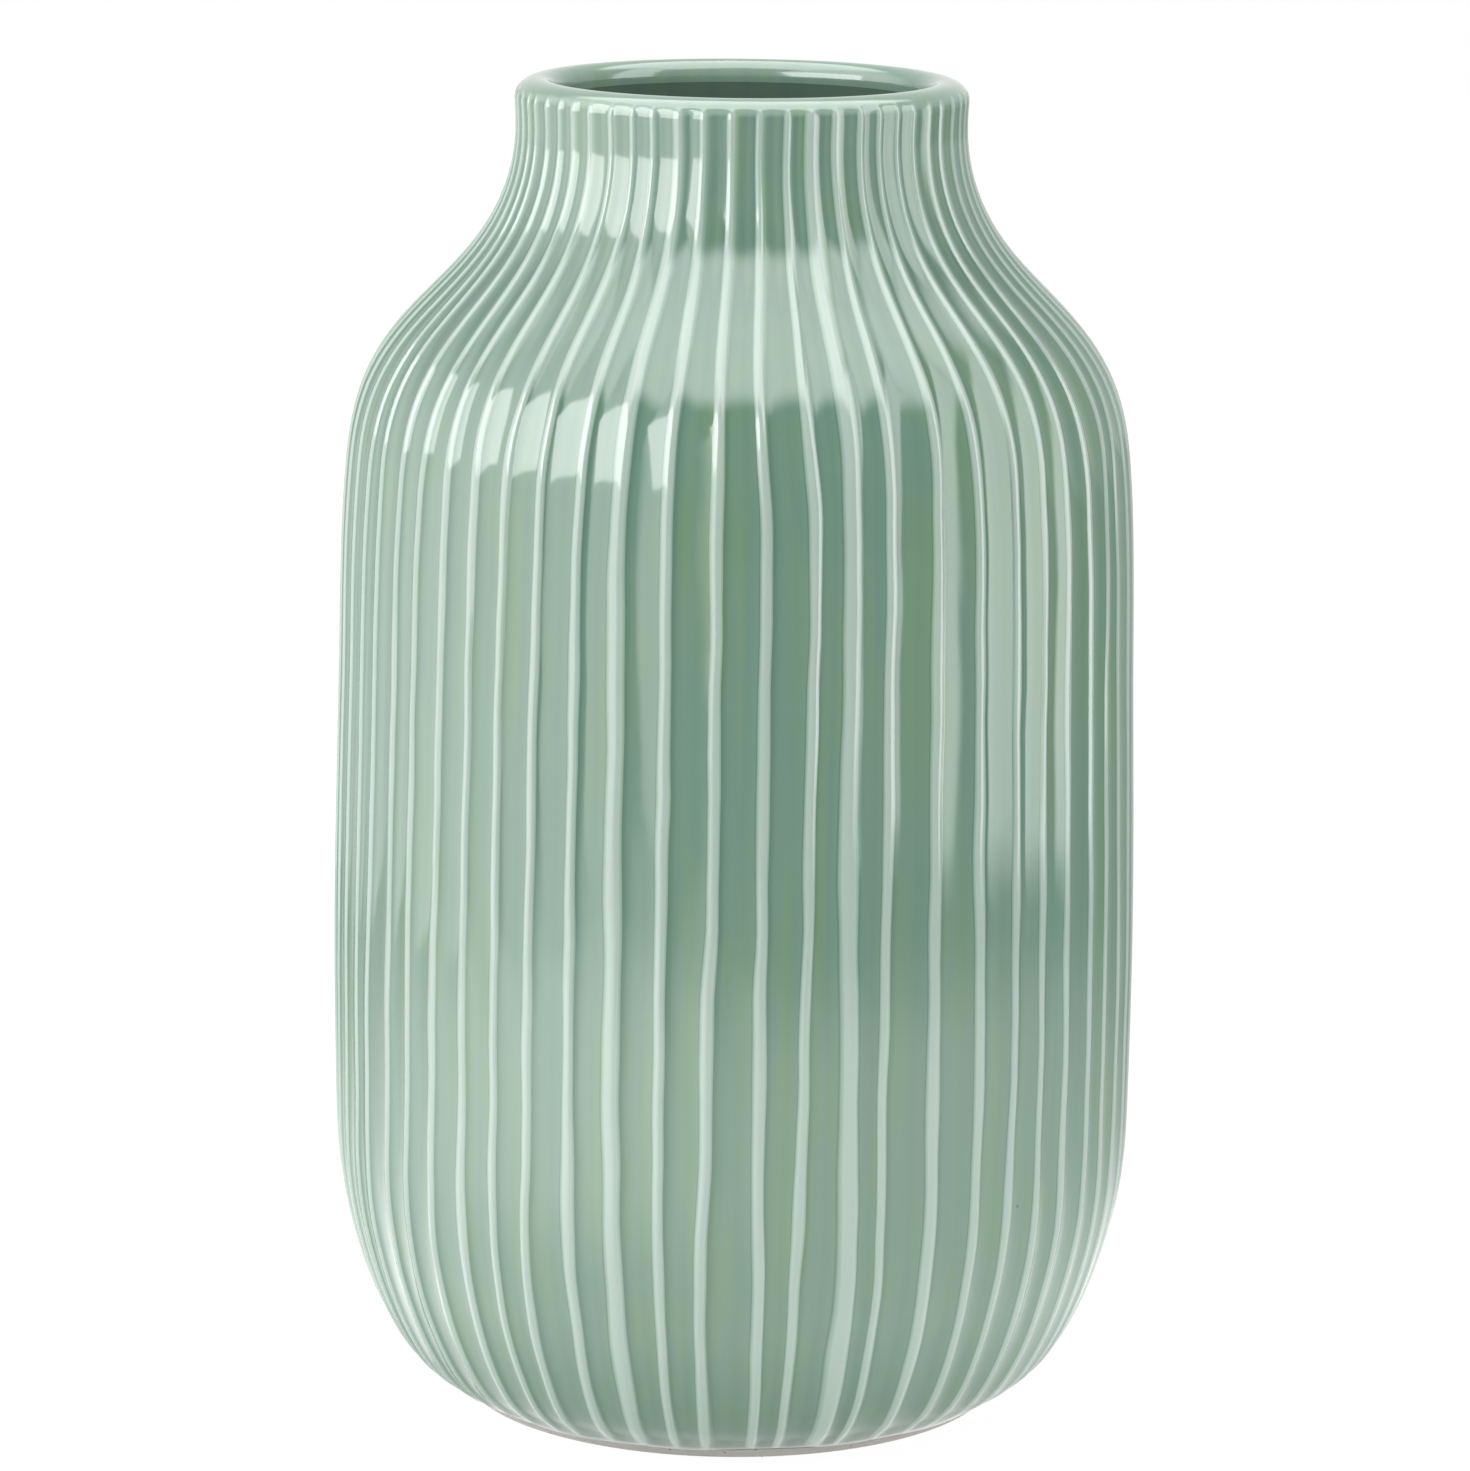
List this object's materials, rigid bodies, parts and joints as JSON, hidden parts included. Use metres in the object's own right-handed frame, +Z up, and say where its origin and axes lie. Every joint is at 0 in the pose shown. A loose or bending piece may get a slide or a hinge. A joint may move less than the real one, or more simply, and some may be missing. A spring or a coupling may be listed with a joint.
{
  "type": "fluted vase",
  "caption": "Free-standing glazed stoneware vase: tall barrel body with hand-carved upright flutes, rounded shoulder, short wide neck and a foot ring.",
  "frame": {"origin": "centre of the foot ring's rest face, on the vase's axis", "axes": "+Z up along the axis to the mouth; -Y towards the side that the picture shows; +X to the right of that view"},
  "size_m": [0.1516, 0.1514, 0.25],
  "materials": {
    "bare_stoneware": "matte bare fired clay",
    "celadon_outside": "glossy celadon, paler on the ridges",
    "celadon_inside": "glossy celadon",
    "celadon_base": "glossy celadon"
  },
  "bodies": {
    "root": {"stoneware_body": "bare_stoneware", "outer_glaze": "celadon_outside", "inner_glaze": "celadon_inside", "base_glaze": "celadon_base"}
  },
  "joints": []
}
